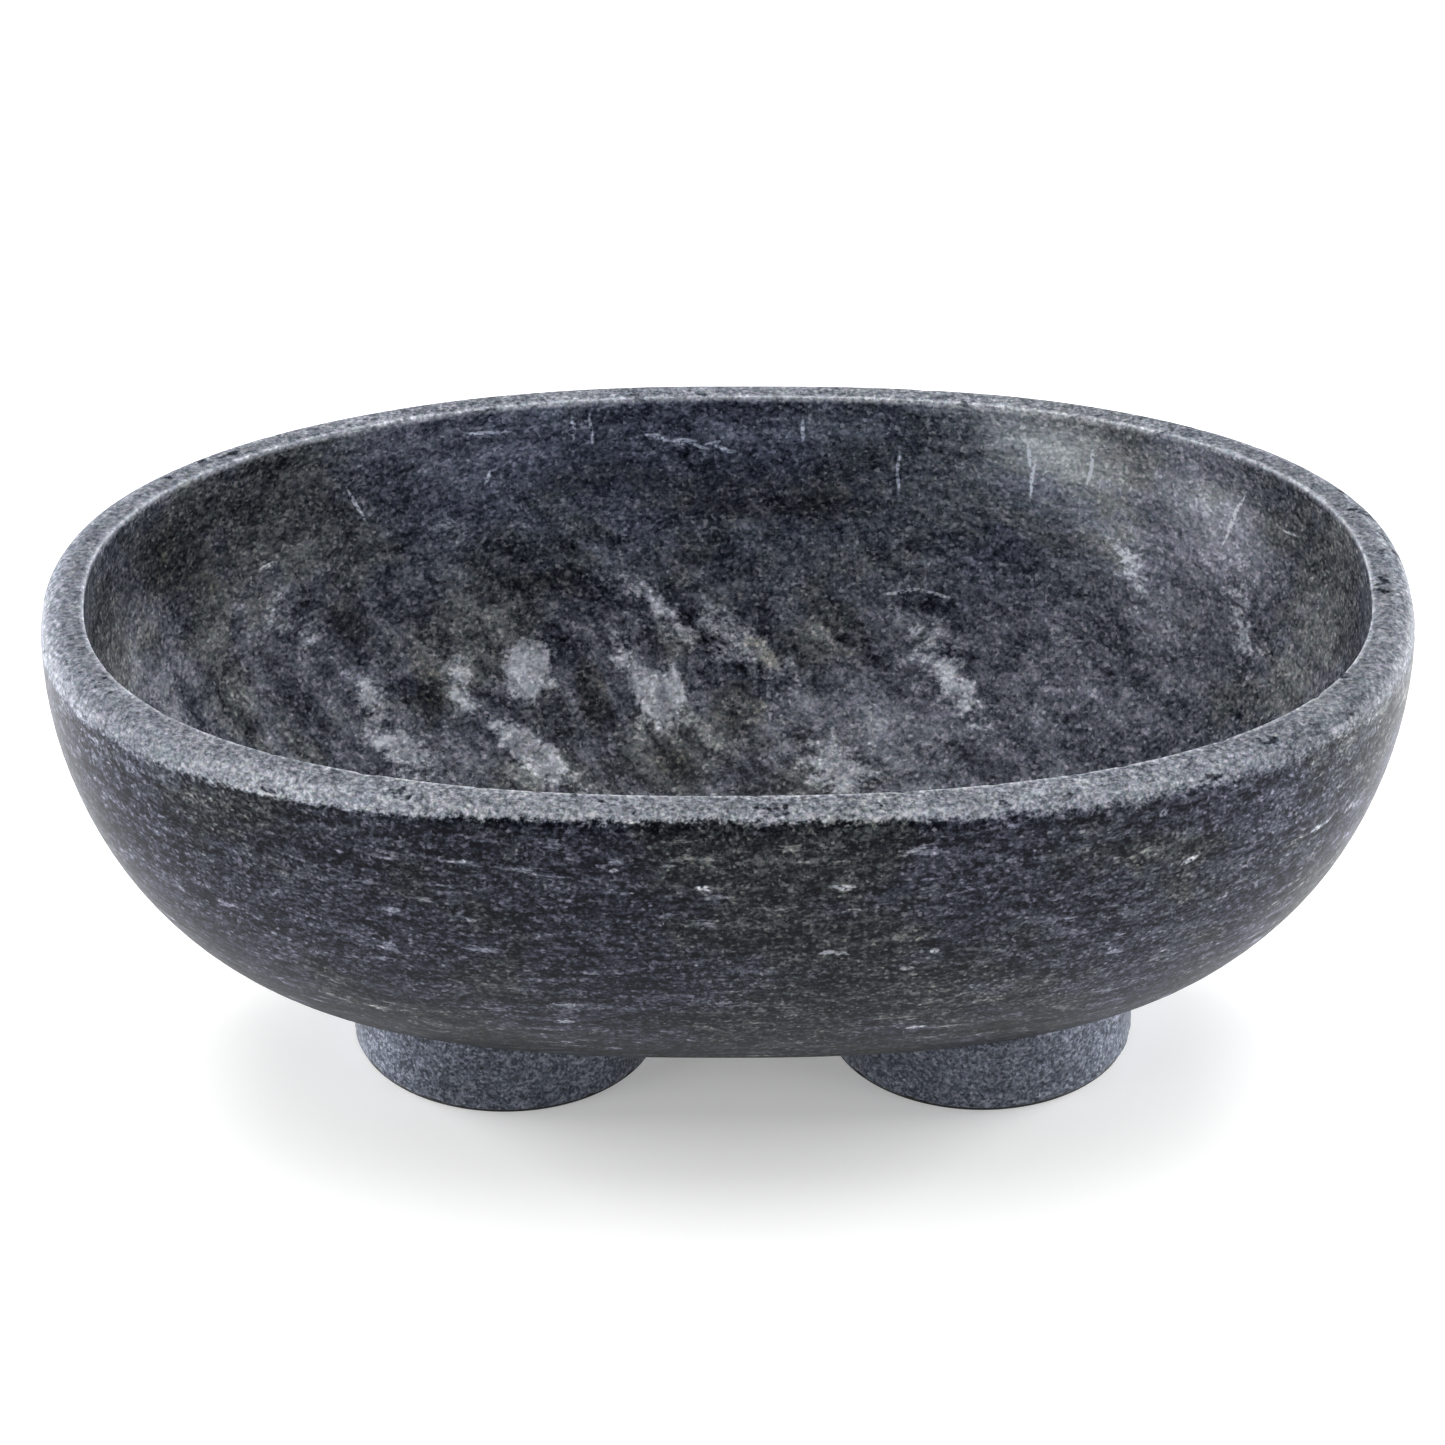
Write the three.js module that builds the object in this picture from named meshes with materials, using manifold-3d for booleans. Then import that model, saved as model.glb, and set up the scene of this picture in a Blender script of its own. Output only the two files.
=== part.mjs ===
// An oval serving bowl of dark marble, in the spirit of a molcajete, standing on two round stone feet.
//
// Each foot is a turned stone disc whose top is ground to the curve of the bowl's underside. It is bedded
// in stone adhesive, held against sideways knocks by a steel pin, and shod with a thin soft pad.
//
// Millimetres, +Z up. The origin is on the ground under the middle of the rim, +X runs along the bowl
// and +Y to its back.
import * as THREE from 'three';
import { mergeVertices } from 'three/addons/utils/BufferGeometryUtils.js';
import Module from 'manifold-3d';

const wasm = await Module();
wasm.setup();

// Overall size.
const LENGTH = 305;
const WIDTH = 185;
const HEIGHT = 118;
const CLEARANCE = 10.7; // from the ground to the bowl's lowest point

// Plan outline: a superellipse that is squarer at some corners than at others, as hand work leaves it.
const SQUARENESS = { backRight: 2.41, backLeft: 2.17, frontLeft: 2.36, frontRight: 2.36 };

// Wall: a quarter superellipse from the rim to a long narrow flat under the bowl.
const WALL_SQUARENESS = 1.95;
const WALL_SWEEP = 92.5; // how far the wall comes in along X, from the rim to the flat
const SWEEP_RATIO = 0.93; // the sweep along Y as a share of the sweep along X
const RIM_WIDTH = 10;
const RIM_ROUNDING = 6; // soft outer edge of the rim
const RIM_ARRIS = 0.6; // crisp inner edge of the rim
const FLOOR = 14; // stone left under the hollow

// Feet, and what joins them to the bowl.
const FOOT_RADIUS = 35;
const FOOT_SPREAD = 54; // from the middle of the pair to each foot's axis
const FOOT_SHIFT = 3.5; // how far the pair sits to the right of the rim's middle
const FOOT_CHAMFER = 0.5;
const PAD_THICKNESS = 0.8;
const PAD_RADIUS = FOOT_RADIUS - FOOT_CHAMFER;
const JOINT_GAP = 0.3; // left between a cut face and its neighbour
const BED_THICKNESS = 0.4;
const BED_RADIUS = FOOT_RADIUS - 0.5;
const PIN_RADIUS = 3;
const PIN_LENGTH = 14;
const PIN_IN_BOWL = 8;

// Fineness of the round shapes.
const PLAN_STEPS = 72;
const WALL_STEPS = 14;
const ROUNDING_STEPS = 4;
const FOOT_STEPS = 48;
const PIN_STEPS = 20;

const FOOT_TOP = CLEARANCE + 15; // tall enough to be cut by the bowl's underside all round
const PIN_TOP = CLEARANCE + PIN_IN_BOWL;
const FEET = { left: FOOT_SHIFT - FOOT_SPREAD, right: FOOT_SHIFT + FOOT_SPREAD };

// ---- Solids and meshes ----

// Merges shared vertices and leaves out the triangles that collapse on a lathe's axis.
function closed(geometry) {
  geometry.deleteAttribute('normal');
  geometry.deleteAttribute('uv');
  const merged = mergeVertices(geometry);
  const corners = merged.index.array;
  const kept = [];
  for (let i = 0; i < corners.length; i += 3) {
    const [a, b, c] = corners.subarray(i, i + 3);
    if (a !== b && b !== c && c !== a) kept.push(a, b, c);
  }
  merged.setIndex(kept);
  return merged;
}

function toSolid(geometry) {
  const merged = closed(geometry);
  const vertProperties = new Float32Array(merged.attributes.position.array);
  const triVerts = new Uint32Array(merged.index.array);
  return new wasm.Manifold(new wasm.Mesh({ numProp: 3, vertProperties, triVerts }));
}

function toGeometry(solid) {
  const { vertProperties, triVerts } = solid.getMesh();
  const geometry = new THREE.BufferGeometry();
  geometry.setAttribute('position', new THREE.BufferAttribute(vertProperties, 3));
  geometry.setIndex(new THREE.BufferAttribute(triVerts, 1));
  return geometry;
}

// A solid of revolution about Z from a list of [radius, height] points, given from the bottom up.
function turned(points, steps) {
  const profile = points.map(([radius, height]) => new THREE.Vector2(radius, height));
  return new THREE.LatheGeometry(profile, steps).rotateX(Math.PI / 2);
}

function cylinder(radius, bottom, top, steps) {
  return turned([[0, bottom], [radius, bottom], [radius, top], [0, top]], steps);
}

function mesh(name, geometry, material) {
  const made = new THREE.Mesh(geometry, material);
  made.name = name;
  return made;
}

// ---- The bowl's form ----

// Half the width of the ring whose half length is given. Rings shrink to a point inside the flat.
function halfWidth(halfLength) {
  const flatLength = LENGTH / 2 - WALL_SWEEP;
  const flatWidth = WIDTH / 2 - WALL_SWEEP * SWEEP_RATIO;
  if (halfLength < flatLength) return (flatWidth * halfLength) / flatLength;
  return WIDTH / 2 - SWEEP_RATIO * (LENGTH / 2 - halfLength);
}

function squareness(x, y) {
  if (y >= 0) return x >= 0 ? SQUARENESS.backRight : SQUARENESS.backLeft;
  return x >= 0 ? SQUARENESS.frontRight : SQUARENESS.frontLeft;
}

// Reshapes a round lathe so that each of its rings takes the bowl's oval outline.
function toOval(geometry) {
  const position = geometry.attributes.position;
  for (let i = 0; i < position.count; i++) {
    const [x, y] = [position.getX(i), position.getY(i)];
    const radius = Math.hypot(x, y);
    if (radius === 0) continue;
    const power = 2 / squareness(x, y);
    const along = Math.sign(x) * Math.abs(x / radius) ** power;
    const across = Math.sign(y) * Math.abs(y / radius) ** power;
    position.setXY(i, radius * along, halfWidth(radius) * across);
  }
  return geometry;
}

// A point on the outside wall and its outward normal, in the X-Z plane; t runs from the flat to the rim.
function wallAt(t) {
  const drop = Math.cos((t * Math.PI) / 2);
  const rest = Math.max(1 - drop ** WALL_SQUARENESS, 0) ** (1 / WALL_SQUARENESS);
  const depth = HEIGHT - RIM_ROUNDING - CLEARANCE;
  const point = [LENGTH / 2 - WALL_SWEEP * (1 - rest), HEIGHT - RIM_ROUNDING - depth * drop];
  const outwards = rest ** (WALL_SQUARENESS - 1) / WALL_SWEEP;
  const downwards = drop ** (WALL_SQUARENESS - 1) / depth;
  const size = Math.hypot(outwards, downwards);
  return { point, normal: [outwards / size, -downwards / size] };
}

// The wall from the flat up to the rounding, moved outwards by an offset that may change with t.
function wallProfile(offsetAt) {
  const profile = [];
  for (let step = 0; step <= WALL_STEPS; step++) {
    const t = step / WALL_STEPS;
    const { point, normal } = wallAt(t);
    const offset = offsetAt(t);
    profile.push([point[0] + offset * normal[0], point[1] + offset * normal[1]]);
  }
  return profile;
}

// The whole outer form as a solid block, grown by an even offset: what a foot's top is ground to fit.
function blockSolid(offset) {
  const wall = wallProfile(() => offset);
  const lowest = wall[0][1];
  const top = wall[wall.length - 1];
  return toSolid(toOval(turned([[0, lowest], ...wall, [0, top[1]]], PLAN_STEPS)));
}

function bowlSolid() {
  const outside = wallProfile(() => 0);
  const inside = wallProfile((t) => -(FLOOR + (RIM_WIDTH - FLOOR) * t)).reverse();
  const rounding = [];
  for (let step = 1; step <= ROUNDING_STEPS; step++) {
    const angle = ((step / ROUNDING_STEPS) * Math.PI) / 2;
    const inset = RIM_ROUNDING * (1 - Math.cos(angle));
    rounding.push([LENGTH / 2 - inset, HEIGHT - RIM_ROUNDING * (1 - Math.sin(angle))]);
  }
  const innerEdge = LENGTH / 2 - RIM_WIDTH;
  const arris = [[innerEdge + RIM_ARRIS, HEIGHT], [innerEdge, HEIGHT - RIM_ARRIS]];
  const floorMiddle = [0, CLEARANCE + FLOOR];
  const profile = [[0, CLEARANCE], ...outside, ...rounding, ...arris, ...inside, floorMiddle];
  return toSolid(toOval(turned(profile, PLAN_STEPS)));
}

// ---- Holes and feet ----

// What a pin's hole takes out of the stone: the pin with a gap all round.
function pinHole(x) {
  const bottom = PIN_TOP - PIN_LENGTH - JOINT_GAP;
  const hole = cylinder(PIN_RADIUS + JOINT_GAP, bottom, PIN_TOP + JOINT_GAP, PIN_STEPS);
  return toSolid(hole.translate(x, 0, 0));
}

function drilledBowl() {
  let solid = bowlSolid();
  for (const x of Object.values(FEET)) solid = solid.subtract(pinHole(x));
  return toGeometry(solid);
}

function foot(x) {
  const outline = [
    [0, PAD_THICKNESS],
    [FOOT_RADIUS - FOOT_CHAMFER, PAD_THICKNESS],
    [FOOT_RADIUS, PAD_THICKNESS + FOOT_CHAMFER],
    [FOOT_RADIUS, FOOT_TOP],
    [0, FOOT_TOP],
  ];
  const blank = toSolid(turned(outline, FOOT_STEPS).translate(x, 0, 0));
  const ground = blank.subtract(blockSolid(2 * JOINT_GAP + BED_THICKNESS));
  return toGeometry(ground.subtract(pinHole(x)));
}

function adhesiveBed(x) {
  const blank = toSolid(cylinder(BED_RADIUS, PAD_THICKNESS, FOOT_TOP, FOOT_STEPS).translate(x, 0, 0));
  const underside = blank.intersect(blockSolid(JOINT_GAP + BED_THICKNESS));
  return toGeometry(underside.subtract(blockSolid(JOINT_GAP)).subtract(pinHole(x)));
}

function pin(x) {
  return closed(cylinder(PIN_RADIUS, PIN_TOP - PIN_LENGTH, PIN_TOP, PIN_STEPS).translate(x, 0, 0));
}

function pad(x) {
  return closed(cylinder(PAD_RADIUS, 0, PAD_THICKNESS, FOOT_STEPS).translate(x, 0, 0));
}

// ---- Materials ----

function stone(color, roughness) {
  return new THREE.MeshStandardMaterial({ color, roughness, metalness: 0 });
}

const bowlStone = () => stone(0x3b3c42, 0.42);
const footStone = () => stone(0x474b55, 0.48);
const adhesive = () => new THREE.MeshStandardMaterial({ color: 0x26272a, roughness: 0.7, metalness: 0 });
const steel = () => new THREE.MeshStandardMaterial({ color: 0xb5b8bc, roughness: 0.3, metalness: 1 });
const softPad = () => new THREE.MeshStandardMaterial({ color: 0x121214, roughness: 0.9, metalness: 0 });

// ---- Assembly ----

const group = new THREE.Group();
group.add(mesh('bowl', drilledBowl(), bowlStone()));
for (const [side, x] of Object.entries(FEET)) {
  group.add(mesh(`${side}_foot`, foot(x), footStone()));
  group.add(mesh(`${side}_adhesive_bed`, adhesiveBed(x), adhesive()));
  group.add(mesh(`${side}_pin`, pin(x), steel()));
  group.add(mesh(`${side}_pad`, pad(x), softPad()));
}

export default group;
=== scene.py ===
# Looks for the oval marble bowl on two round feet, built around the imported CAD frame.
# Metres, +Z up, in the CAD model's own frame: +X runs along the bowl, +Y to its back.
import math
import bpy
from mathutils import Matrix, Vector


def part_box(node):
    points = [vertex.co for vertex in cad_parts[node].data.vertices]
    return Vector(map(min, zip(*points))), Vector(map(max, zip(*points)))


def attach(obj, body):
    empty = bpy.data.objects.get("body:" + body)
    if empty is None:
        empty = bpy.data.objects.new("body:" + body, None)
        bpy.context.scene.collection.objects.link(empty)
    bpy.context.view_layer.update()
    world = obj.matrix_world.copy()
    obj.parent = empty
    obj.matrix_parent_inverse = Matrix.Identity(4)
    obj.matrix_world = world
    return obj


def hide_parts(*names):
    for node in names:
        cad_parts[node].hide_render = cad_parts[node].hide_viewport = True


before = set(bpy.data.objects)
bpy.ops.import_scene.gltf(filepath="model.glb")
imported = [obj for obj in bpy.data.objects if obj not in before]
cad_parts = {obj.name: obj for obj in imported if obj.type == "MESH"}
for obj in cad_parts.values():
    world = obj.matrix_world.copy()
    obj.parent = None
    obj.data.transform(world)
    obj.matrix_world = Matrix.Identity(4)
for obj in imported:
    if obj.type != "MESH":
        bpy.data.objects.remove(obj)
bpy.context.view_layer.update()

from types import SimpleNamespace

import bpy
import numpy as np
from mathutils import Matrix, Vector

MM = 0.001

# ---- Sizes, from the frame and from the same driving dimensions as the CAD model ----

BOWL_LOW, BOWL_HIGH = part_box("bowl")
HALF_LENGTH, HALF_WIDTH = BOWL_HIGH.x, BOWL_HIGH.y
RIM_TOP, UNDERSIDE = BOWL_HIGH.z, BOWL_LOW.z
SQUARENESS = {"back_right": 2.41, "back_left": 2.17, "front_left": 2.36, "front_right": 2.36}
WALL_SQUARENESS = 1.95
WALL_SWEEP = 92.5 * MM
SWEEP_RATIO = 0.93
RIM_WIDTH = 10 * MM
RIM_ROUNDING = 6 * MM
RIM_ARRIS = 0.6 * MM
BOWL_FLOOR = 14 * MM
WALL_DEPTH = RIM_TOP - RIM_ROUNDING - UNDERSIDE
FLAT_LENGTH = HALF_LENGTH - WALL_SWEEP
FLAT_WIDTH = HALF_WIDTH - WALL_SWEEP * SWEEP_RATIO

# The gap round a pin, and how far under the bowl's outside surface each surface of a joint lies.
PIN_GAP = 0.3 * MM
BED_TOP_GAP = 0.05 * MM
BED_BOTTOM_GAP = 0.45 * MM
FOOT_TOP_GAP = 0.5 * MM

# Radii of the rounded edges of the feet and the pads.
FOOT_EDGE = 0.5 * MM
PAD_EDGE = 0.25 * MM

SIDES = ("left", "right")

# Fineness of the meshes.
PLAN_STEPS = 896
WALL_STEPS = 34
ROUNDING_STEPS = 12
ARRIS_STEPS = 4
PAD_EDGE_STEPS = 3
FOOT_STEPS = 288
FOOT_WALL_STEPS = 16
SEAT_RINGS = 12
HALVINGS = 40

# Shallow hollows from hand grinding, and the small nicks along the rim and the feet.
WAVES = 9
WAVE_LENGTHS = (28 * MM, 75 * MM)
WAVE_DEPTH = 0.3 * MM
WAVE_SEED = 11
NICKS = 90
NICK_SIZES = (0.7 * MM, 1.9 * MM)
NICK_DEPTHS = (0.1 * MM, 0.4 * MM)
NICK_SEED = 23
INNER_EDGE_SHARE = 0.45  # of the rim's nicks; the rest are on its outer shoulder
INNER_NICK_DROP = 0.2 * MM
SHOULDER_NICK_DROP = 0.6 * MM
SHOULDER_INSETS = (1.5 * MM, 6 * MM)
BESIDE_EDGE = 0.7  # share of the painted highlight on the ring of vertices beside the inner edge
FOOT_NICKS = 26
FOOT_NICK_SEED = 31

# ---- Marks in the stone, and patches of painted light ----
# Each starts with x and the height above the table. Millimetres, and tilt in degrees, rising to the right.
# All lie on the inner back wall, apart from the flakes, which lie on the outer front wall.

PATCH_REACH = 7  # half the thickness of a patch
PATCH_FALLOFF = 1.4  # at its border a patch has faded to exp(-1.4) of its strength
MARK_REACH = 3  # half the thickness of a scratch or a flake
MARK_CORE = 0.45  # the share of a scratch or a flake that has not begun to fade
SCRATCH_HALF_BREADTH = 0.6
FLAKE_HALF_BREADTH = 1.1
PALE_PATCHES = [  # x, height, length, breadth, tilt, strength
    (-46, 57.5, 19, 15, 80, 1.0),
    (-15, 50.5, 18, 16, 100, 1.0),
    (-19, 54.0, 12, 9, 20, 0.9),
    (-45, 43.0, 34, 10, -43, 0.95),
    (-75, 47.0, 26, 15, -42, 0.75),
    (-83, 57.0, 18, 8, -100, 0.6),
    (-62, 57.0, 25, 11, -85, 0.6),
    (-24, 59.5, 16, 10, -62, 0.55),
    (0, 61.0, 52, 16, -24, 0.65),
    (-18, 70.0, 40, 12, -28, 0.5),
    (52, 56.0, 50, 13, -49, 0.6),
    (26, 39.0, 30, 18, -25, 0.7),
    (-64, 88.5, 18, 9, -8, 0.4),
    (-35, 84.0, 12, 7, -4, 0.4),
    (-8, 105.0, 26, 7, -17, 0.4),
    (118, 80.0, 44, 11, -62, 0.55),
    (-100, 76.0, 30, 16, -60, 0.45),
    (94, 84.0, 26, 9, -45, 0.6),
]
DUSKY_PATCHES = [  # x, height, length, breadth, tilt, strength
    (-31, 52.0, 24, 10, -80, 1.0),
    (3, 48.5, 20, 15, -46, 1.0),
    (-69, 57.0, 22, 9, -82, 0.9),
    (-12, 39.5, 20, 13, -38, 0.8),
    (9, 59.0, 18, 7, -40, 0.8),
    (-40, 74.0, 34, 9, -6, 0.7),
    (-87, 72.0, 26, 14, -55, 0.7),
    (-126, 100.0, 48, 26, -44, 0.8),
    (8, 92.0, 100, 18, -2, 0.75),
    (-30, 98.0, 60, 14, 4, 0.55),
    (70, 84.0, 44, 16, -20, 0.35),
]
# Not marks in the stone: painted light on the inner wall, a painted highlight high on the back right, and
# lighter patches where light falls on the ends and lower down.
PAINTED_LIGHT_PATCHES = [  # x, height, length, breadth, tilt, strength
    (78, 106, 64, 30, -22, 2.0),
    (110, 101, 56, 32, -36, 1.7),
    (92, 90, 60, 24, -40, 1.3),
    (-62, 106, 70, 24, -8, 0.35),
    (66, 58, 90, 46, -12, 0.25),
    (10, 46, 80, 26, 0, 0.3),
    (-80, 52, 70, 34, 10, 0.35),
    (132, 84, 40, 50, 0, 0.6),
    (-132, 80, 44, 50, 0, 0.9),
    (-112, 84, 54, 40, 0, 0.4),
    (10, 109, 150, 13, 0, 0.3),
]
SCRATCHES = [  # x, height, length, tilt
    (-35, 111.0, 9, -86),
    (-31, 110.5, 12, -87),
    (18, 109.0, 8, -91),
    (40, 99.5, 15, -89),
    (70, 106.0, 7, -81),
    (71, 100.0, 14, -93),
    (84, 105.5, 13, -97),
    (-85, 98.5, 15, -67),
    (-105, 89.5, 7, 4),
    (116, 101.5, 21, -107),
    (-55, 111.5, 14, -6),
    (-55, 100.0, 6, -115),
    (-17, 108.1, 5, -8),
    (-15, 107.1, 6, -24),
    (-11, 106.1, 5, -15),
    (-9, 106.5, 7, -5),
    (-6, 105.1, 6, -22),
    (-3, 105.6, 5, 6),
    (-1, 104.4, 6, -18),
    (1, 103.5, 5, -4),
    (41, 72.0, 13, 12),
    (49, 72.0, 10, -12),
    (93, 85.5, 9, 31),
    (128, 104.5, 6, 5),
]
FLAKES = [  # x, height, length, tilt
    (24, 99.0, 8, -6),
    (-6, 99.5, 5, -8),
    (21, 79.5, 5, 8),
    (24, 79.0, 4, -10),
    (38, 73.0, 4, 0),
    (44, 78.5, 3, 5),
    (-15, 89.0, 2, 0),
    (-25, 104.0, 3, 20),
    (41, 48.0, 6, 0),
    (-36, 52.0, 6, 3),
    (93, 110.0, 3, 15),
    (99, 95.0, 6, 30),
]


# ---- The bowl's form ----

def half_width(half_length):
    """Half the width of the ring whose half length is given."""
    inside_flat = FLAT_WIDTH * half_length / FLAT_LENGTH
    on_wall = HALF_WIDTH - SWEEP_RATIO * (HALF_LENGTH - half_length)
    return np.where(half_length < FLAT_LENGTH, inside_flat, on_wall)


def squareness(x, y):
    """Power of the superellipse in the quarter of the plan that a point lies in."""
    back = np.where(x >= 0, SQUARENESS["back_right"], SQUARENESS["back_left"])
    front = np.where(x >= 0, SQUARENESS["front_right"], SQUARENESS["front_left"])
    return np.where(y >= 0, back, front)


def oval_ring(half_length, angles):
    """Points of the plan outline of one ring."""
    c, s = np.cos(angles), np.sin(angles)
    power = 2 / squareness(c, s)
    x = half_length * np.sign(c) * np.abs(c) ** power
    y = half_width(half_length) * np.sign(s) * np.abs(s) ** power
    return x, y


def wall_at(t):
    """Half length, height and outward normal of the outside wall; t runs from the flat to the rim."""
    drop = np.cos(t * math.pi / 2)
    rest = np.maximum(1 - drop ** WALL_SQUARENESS, 0) ** (1 / WALL_SQUARENESS)
    half_length = HALF_LENGTH - WALL_SWEEP * (1 - rest)
    height = RIM_TOP - RIM_ROUNDING - WALL_DEPTH * drop
    outwards = rest ** (WALL_SQUARENESS - 1) / WALL_SWEEP
    downwards = drop ** (WALL_SQUARENESS - 1) / WALL_DEPTH
    size = np.hypot(outwards, downwards)
    return half_length, height, outwards / size, -downwards / size


def outer_wall():
    """Half lengths and heights of the outside wall, from the flat up."""
    half_length, height, _, _ = wall_at(np.linspace(0, 1, WALL_STEPS + 1))
    return half_length, height


def inner_wall():
    """Half lengths and heights of the inside wall, from the floor up."""
    share = np.linspace(0, 1, WALL_STEPS + 1)
    half_length, height, outwards, upwards = wall_at(share)
    thickness = BOWL_FLOOR + (RIM_WIDTH - BOWL_FLOOR) * share
    return half_length - thickness * outwards, height - thickness * upwards


def underside_height(x, y):
    """Height of the bowl's outside surface over points under it, by halving the range of t."""
    low, high = np.zeros_like(x), np.ones_like(x)
    power = squareness(x, y)
    for _ in range(HALVINGS):
        middle = (low + high) / 2
        half_length = wall_at(middle)[0]
        outside = (np.abs(x) / half_length) ** power + (np.abs(y) / half_width(half_length)) ** power > 1
        low = np.where(outside, middle, low)
        high = np.where(outside, high, middle)
    return wall_at((low + high) / 2)[1]


def quarter_turn(steps):
    """Angles of a quarter turn, without the first."""
    return np.linspace(0, math.pi / 2, steps + 1)[1:]


def bowl_profile():
    """Rings as half length, height and stretch, from under the bowl's middle, over the rim, to its floor."""
    inner_edge = HALF_LENGTH - RIM_WIDTH
    land = RIM_WIDTH - RIM_ROUNDING - RIM_ARRIS
    stretches = {
        "under": [(FLAT_LENGTH * share, UNDERSIDE) for share in (0.25, 0.5, 0.75)],
        "wall": list(zip(*outer_wall())),
        "rounding": [
            (HALF_LENGTH - RIM_ROUNDING * (1 - math.cos(a)), RIM_TOP - RIM_ROUNDING * (1 - math.sin(a)))
            for a in quarter_turn(ROUNDING_STEPS)
        ],
        "land": [(inner_edge + RIM_ARRIS + land * share, RIM_TOP) for share in (0.75, 0.5, 0.25, 0)],
        "arris": [
            (inner_edge + RIM_ARRIS * (1 - math.sin(a)), RIM_TOP - RIM_ARRIS * (1 - math.cos(a)))
            for a in quarter_turn(ARRIS_STEPS)
        ],
        "lip": [
            (inner_edge, RIM_TOP - RIM_ARRIS - (RIM_ROUNDING - RIM_ARRIS) * share)
            for share in (0.25, 0.5, 0.75)
        ],
        "inside": list(zip(*inner_wall()))[::-1],
        "floor": [(FLAT_LENGTH * share, UNDERSIDE + BOWL_FLOOR) for share in (0.75, 0.5, 0.25)],
    }
    return [(length, z, name) for name, rings in stretches.items() for length, z in rings]


def wall_place(x, height, front):
    """The point at an x and a height on the inner back wall or, for the front, on the outer wall."""
    ring_lengths, ring_heights = outer_wall() if front else inner_wall()
    ring = np.interp(height, ring_heights, ring_lengths)
    away = -1 if front else 1
    power = float(squareness(x, away))
    y = away * half_width(ring) * max(1 - abs(x / ring) ** power, 0) ** (1 / power)
    return Vector((x, float(y), height))


def mark_frame(x, height, tilt, front=False):
    """Centre of a mark on a wall, with its directions along, across and out of the stone."""
    step = 0.5 * MM
    level = (wall_place(x + step, height, front) - wall_place(x - step, height, front)).normalized()
    upward = (wall_place(x, height + step, front) - wall_place(x, height - step, front)).normalized()
    outward = level.cross(upward).normalized()
    turned = Matrix.Rotation(-math.radians(tilt), 3, -outward) @ level
    return wall_place(x, height, front), turned, outward.cross(turned), outward


# ---- Meshes ----

def ring_faces(rings, steps):
    """Quads between neighbouring rings of vertices, and fans that close the first and the last ring."""
    start = np.arange(rings - 1)[:, None] * steps
    here = np.arange(steps)[None, :]
    after = (here + 1) % steps
    corners = [start + here, start + after, start + steps + after, start + steps + here]
    quads = np.stack(corners, -1).reshape(-1, 4)
    first, last = rings * steps, rings * steps + 1
    top = (rings - 1) * steps
    fans = [(first, (i + 1) % steps, i) for i in range(steps)]
    fans += [(last, top + i, top + (i + 1) % steps) for i in range(steps)]
    return quads.tolist() + fans


def mesh_object(name, vertices, faces):
    """A smooth-shaded mesh object, linked to the scene."""
    mesh = bpy.data.meshes.new(name)
    mesh.from_pydata([tuple(v) for v in vertices], [], faces)
    mesh.validate()
    mesh.shade_smooth()
    made = bpy.data.objects.new(name, mesh)
    bpy.context.scene.collection.objects.link(made)
    return made


def paint(piece, name, values):
    """Stores a number on each vertex, for the materials to read."""
    layer = piece.data.attributes.new(name, "FLOAT", "POINT")
    layer.data.foreach_set("value", np.asarray(values, dtype=np.float32))


def press_in(piece, depth_at):
    """Moves each vertex into the stone along its normal, by a depth worked out from its place."""
    mesh = piece.data
    places, normals = np.empty(len(mesh.vertices) * 3), np.empty(len(mesh.vertices) * 3)
    mesh.vertices.foreach_get("co", places)
    mesh.vertex_normals.foreach_get("vector", normals)
    depths = depth_at(places.reshape(-1, 3))
    mesh.vertices.foreach_set("co", places - normals * np.repeat(depths, 3))
    mesh.update()


def wave_depths(places):
    """Depths of the shallow hollows that hand grinding leaves, never more than WAVE_DEPTH."""
    draw = np.random.default_rng(WAVE_SEED)
    total = np.zeros(len(places))
    for _ in range(WAVES):
        direction = draw.normal(size=3)
        direction /= np.linalg.norm(direction)
        length, start = draw.uniform(*WAVE_LENGTHS), draw.uniform(0, 2 * math.pi)
        total += np.sin(places @ direction * 2 * math.pi / length + start)
    return WAVE_DEPTH * (1 + total / WAVES) / 2


def nick_depths(places, centres, draw):
    """Depths of small round nicks about the given centres."""
    depths = np.zeros(len(places))
    for centre in centres:
        size, depth = draw.uniform(*NICK_SIZES), draw.uniform(*NICK_DEPTHS)
        nearness = 1 - ((places - centre) ** 2).sum(1) / size ** 2
        depths = np.maximum(depths, depth * np.clip(nearness, 0, 1))
    return depths


def rim_nick_centres(draw):
    """Places along the rim's inner edge and its rounded outer shoulder."""
    centres = []
    for _ in range(NICKS):
        angle = draw.uniform(0, 2 * math.pi)
        on_inner_edge = draw.uniform() < INNER_EDGE_SHARE
        inset = RIM_WIDTH if on_inner_edge else draw.uniform(*SHOULDER_INSETS)
        x, y = oval_ring(np.float64(HALF_LENGTH - inset), angle)
        drop = INNER_NICK_DROP if on_inner_edge else SHOULDER_NICK_DROP
        centres.append((x, y, RIM_TOP - drop))
    return centres


def patch_strengths(places, patches):
    """How strongly each vertex lies in one of the patches."""
    strengths = np.zeros(len(places))
    for x, height, length, breadth, tilt, strength in patches:
        centre, along, across, outward = mark_frame(x * MM, height * MM, tilt)
        offsets = places - np.array(centre)
        reach = (offsets @ np.array(along) / (length * MM / 2)) ** 2
        reach += (offsets @ np.array(across) / (breadth * MM / 2)) ** 2
        reach += (offsets @ np.array(outward) / (PATCH_REACH * MM)) ** 2
        strengths = np.maximum(strengths, strength * np.exp(-PATCH_FALLOFF * reach))
    return strengths


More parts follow.
